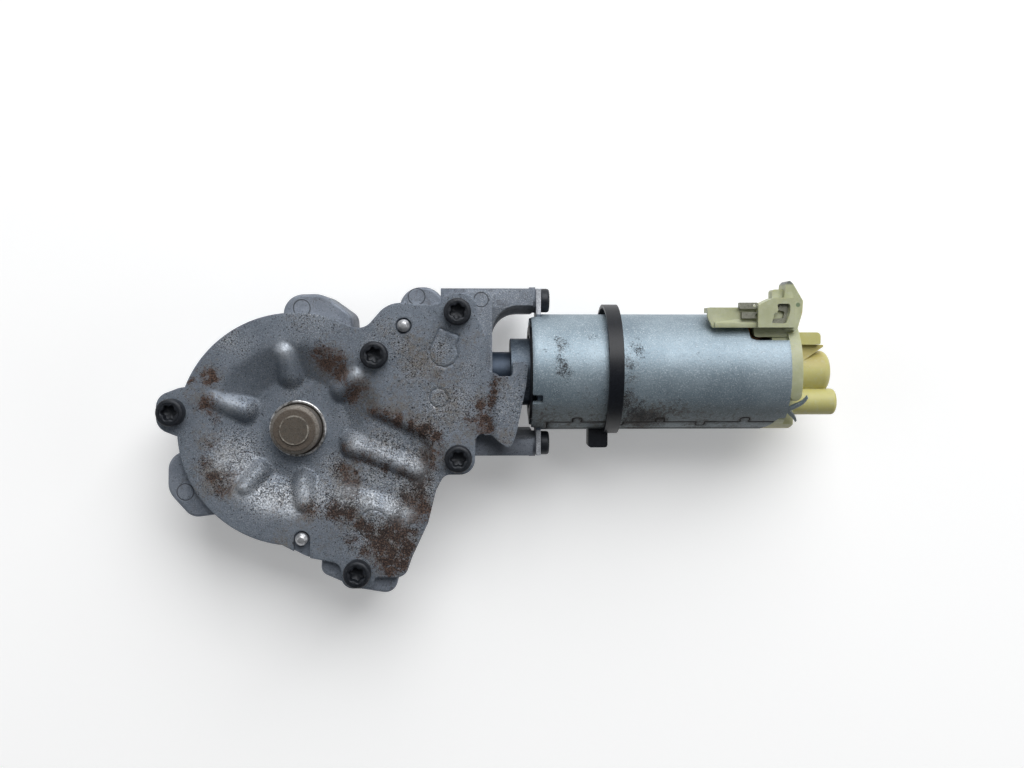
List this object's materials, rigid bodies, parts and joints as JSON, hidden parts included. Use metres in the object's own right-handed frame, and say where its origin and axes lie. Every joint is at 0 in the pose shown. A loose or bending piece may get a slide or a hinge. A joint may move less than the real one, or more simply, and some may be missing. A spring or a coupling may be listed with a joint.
{
  "type": "seat adjustment motor",
  "caption": "Canned electric motor driving a worm and spur gearbox in a cast housing with a stamped cover, for moving a vehicle seat",
  "frame": {"origin": "on the output shaft's axis, in the plane of the rear mounting pads", "axes": "+Z from the pads to the cover, +X along the motor away from the gearbox, motor axis on the +Y side"},
  "size_m": [0.2193, 0.1002, 0.0443],
  "materials": {
    "cast_aluminium": "as cast, fine grain",
    "plated_sheet": "zinc plated, worn and rusty",
    "black_screw": "blackened",
    "turned_steel": "turned",
    "sintered_bronze": "sintered",
    "shaft_steel": "dirty steel",
    "gear_steel": "hobbed",
    "spring_steel": "blued",
    "gear_plastic": "moulded",
    "core_steel": "stacked sheet",
    "copper_wire": "enamelled",
    "copper_bar": "drawn",
    "dark_steel": "dark passivated",
    "galvanised_can": "galvanised",
    "ferrite": "sintered",
    "brush_board": "pressed board",
    "carbon": "pressed",
    "pale_plastic": "moulded, translucent look",
    "tinned_brass": "tinned",
    "black_nylon": "moulded"
  },
  "bodies": {
    "root": {"gearbox_housing": "cast_aluminium", "cover_plate": "plated_sheet", "cover_screws": "black_screw", "dowel_pins": "turned_steel", "front_bushing": "turned_steel", "rear_bushing": "sintered_bronze", "thrust_washer": "spring_steel", "intermediate_axle": "turned_steel", "worm_end_bush": "sintered_bronze", "bearing_outer_ring": "turned_steel", "bearing_shields": "turned_steel", "rear_armature_bush": "sintered_bronze", "motor_end_plate": "dark_steel", "motor_screws": "black_screw", "motor_can": "galvanised_can", "magnets": "ferrite", "brush_plate": "brush_board", "brush_tubes": "copper_bar", "brushes": "carbon", "brush_springs": "spring_steel", "end_cap": "pale_plastic", "terminal_blades": "tinned_brass", "contact_strip": "tinned_brass", "cable_tie": "black_nylon"},
    "output": {"output_shaft": "shaft_steel", "output_gear": "gear_steel", "retaining_ring": "spring_steel"},
    "intermediate": {"intermediate_pinion": "gear_steel", "worm_wheel": "gear_plastic"},
    "armature": {"worm": "gear_steel", "armature_shaft": "turned_steel", "armature_core": "core_steel", "armature_windings": "copper_wire", "commutator": "copper_bar", "bearing_inner_ring": "turned_steel"}
  },
  "joints": [
    {"name": "output_spin", "type": "hinge", "parent": "root", "child": "output", "pos_m": [0, 0, 0.005], "axis": [0, 0, 1], "continuous": true},
    {"name": "intermediate_spin", "type": "hinge", "parent": "root", "child": "intermediate", "pos_m": [0.036, 0, 0.01], "axis": [0, 0, 1], "continuous": true},
    {"name": "armature_spin", "type": "hinge", "parent": "root", "child": "armature", "pos_m": [0.036, 0.018, 0.015], "axis": [1, 0, 0], "continuous": true}
  ],
  "couplings": [
    {"joint": "intermediate_spin", "follows": "armature_spin", "ratio": 0.038462},
    {"joint": "output_spin", "follows": "armature_spin", "ratio": -0.010121}
  ]
}
